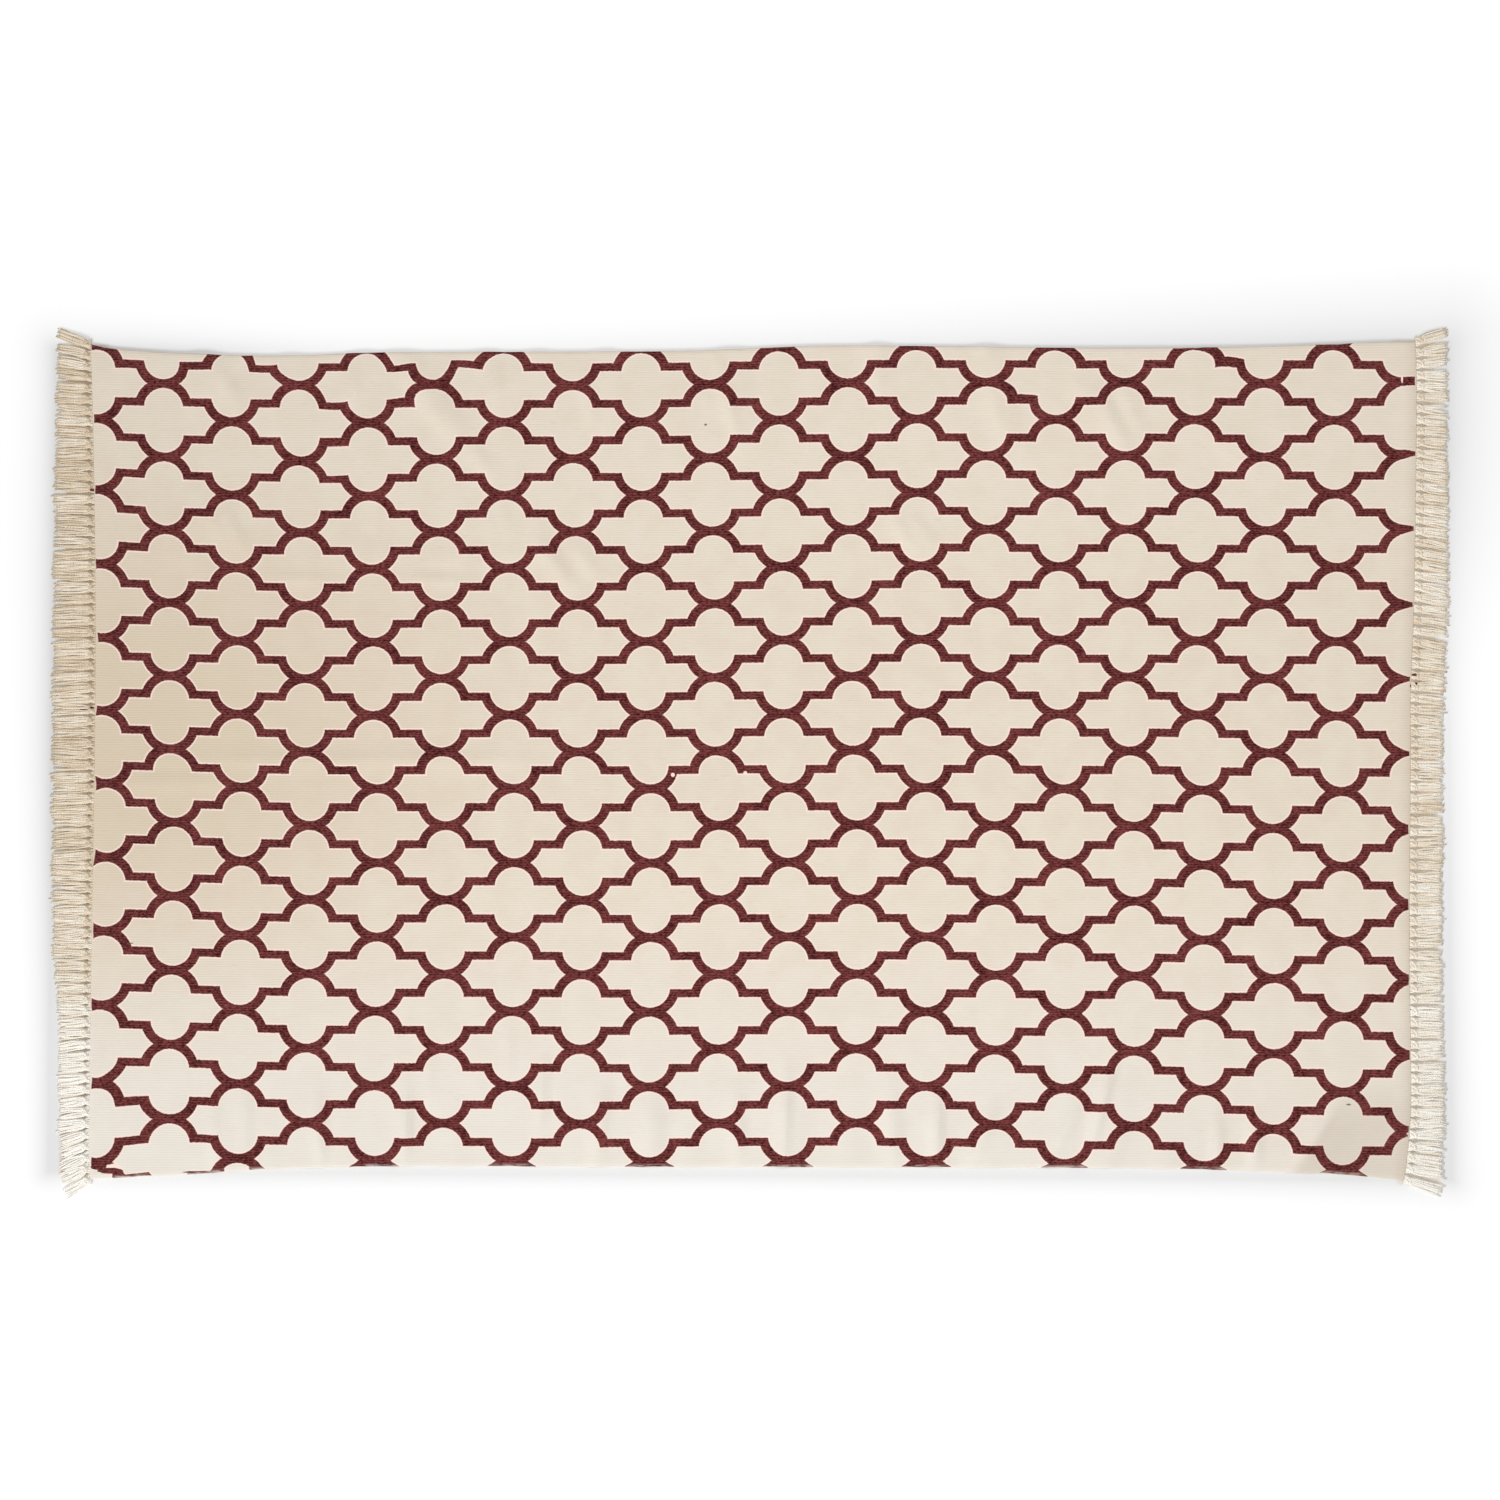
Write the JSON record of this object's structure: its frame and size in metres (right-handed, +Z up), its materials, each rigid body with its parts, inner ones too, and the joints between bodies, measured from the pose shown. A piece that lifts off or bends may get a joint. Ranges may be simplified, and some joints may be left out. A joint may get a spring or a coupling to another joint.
{
  "type": "rug",
  "caption": "Flat-woven cotton rug with a printed trellis of interlaced quatrefoils on a natural ground and knotted warp fringes at both ends, lying flat.",
  "frame": {"origin": "on the floor, under the middle of the rug with its fringes", "axes": "+X along the warp towards the right-hand fringe, +Y across it towards the upper long edge, +Z up"},
  "size_m": [1.5329, 0.9537, 0.008],
  "materials": {
    "printed_cotton": "matte flat-woven natural cotton with a burgundy printed trellis",
    "fringe_yarn": "matte undyed cotton warp yarns, knotted in locks"
  },
  "bodies": {
    "root": {"rug_cloth": "printed_cotton", "fringe_left": "fringe_yarn", "fringe_right": "fringe_yarn"}
  },
  "joints": []
}
